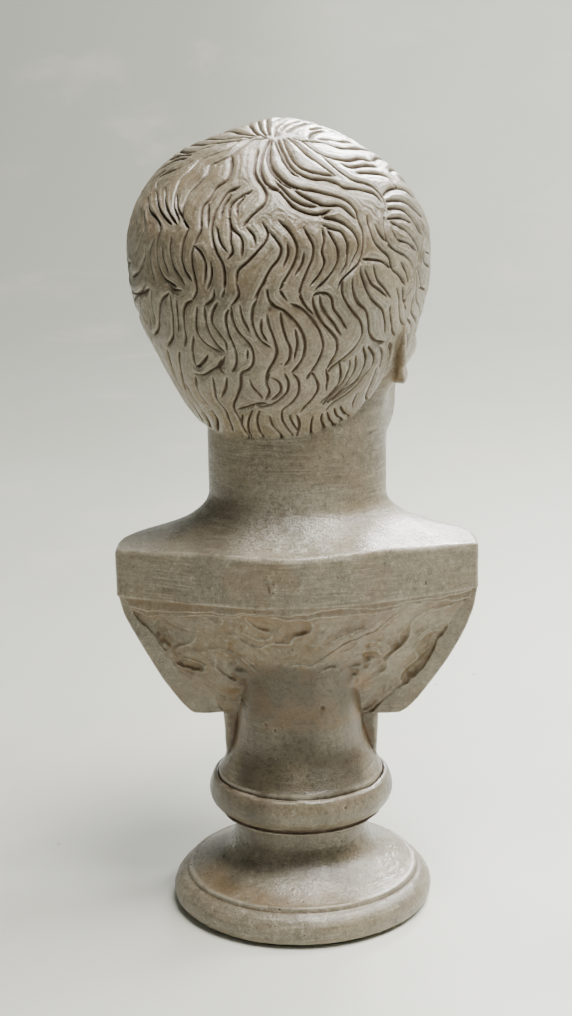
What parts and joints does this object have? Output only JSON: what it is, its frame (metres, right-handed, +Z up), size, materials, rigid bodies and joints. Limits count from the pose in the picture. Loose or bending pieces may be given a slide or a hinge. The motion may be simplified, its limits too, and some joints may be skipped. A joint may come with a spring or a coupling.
{
  "type": "marble bust",
  "caption": "Stone bust of a young man with short wavy hair, head turned aside, cut-off shoulders and a rear pillar, standing on a round turned socle.",
  "frame": {"origin": "centre of the underside, on the axis of the round socle", "axes": "+Z up; the chest faces -Y and the head turns to the figure's right, towards -X"},
  "size_m": [0.1376, 0.1354, 0.3],
  "materials": {
    "marble": "aged, patinated, satin wax",
    "baize": "felted",
    "shim": "matt",
    "bronze": "machined",
    "steel": "zinc plated",
    "grout": "matt"
  },
  "bodies": {
    "base": {"socle": "marble", "base_pad": "baize", "seat_shim": "shim", "pivot_bush": "bronze", "thrust_washer": "steel"},
    "figure": {"bust": "marble", "anchor_grout": "grout", "anchor_sleeve": "bronze", "pivot_stud": "steel", "disc_spring": "steel", "hex_nut": "steel", "lock_nut": "steel"}
  },
  "joints": [
    {"name": "bust_swivel", "type": "hinge", "parent": "base", "child": "figure", "pos_m": [0, 0, 0.051], "axis": [0, 0, 1], "continuous": true}
  ]
}
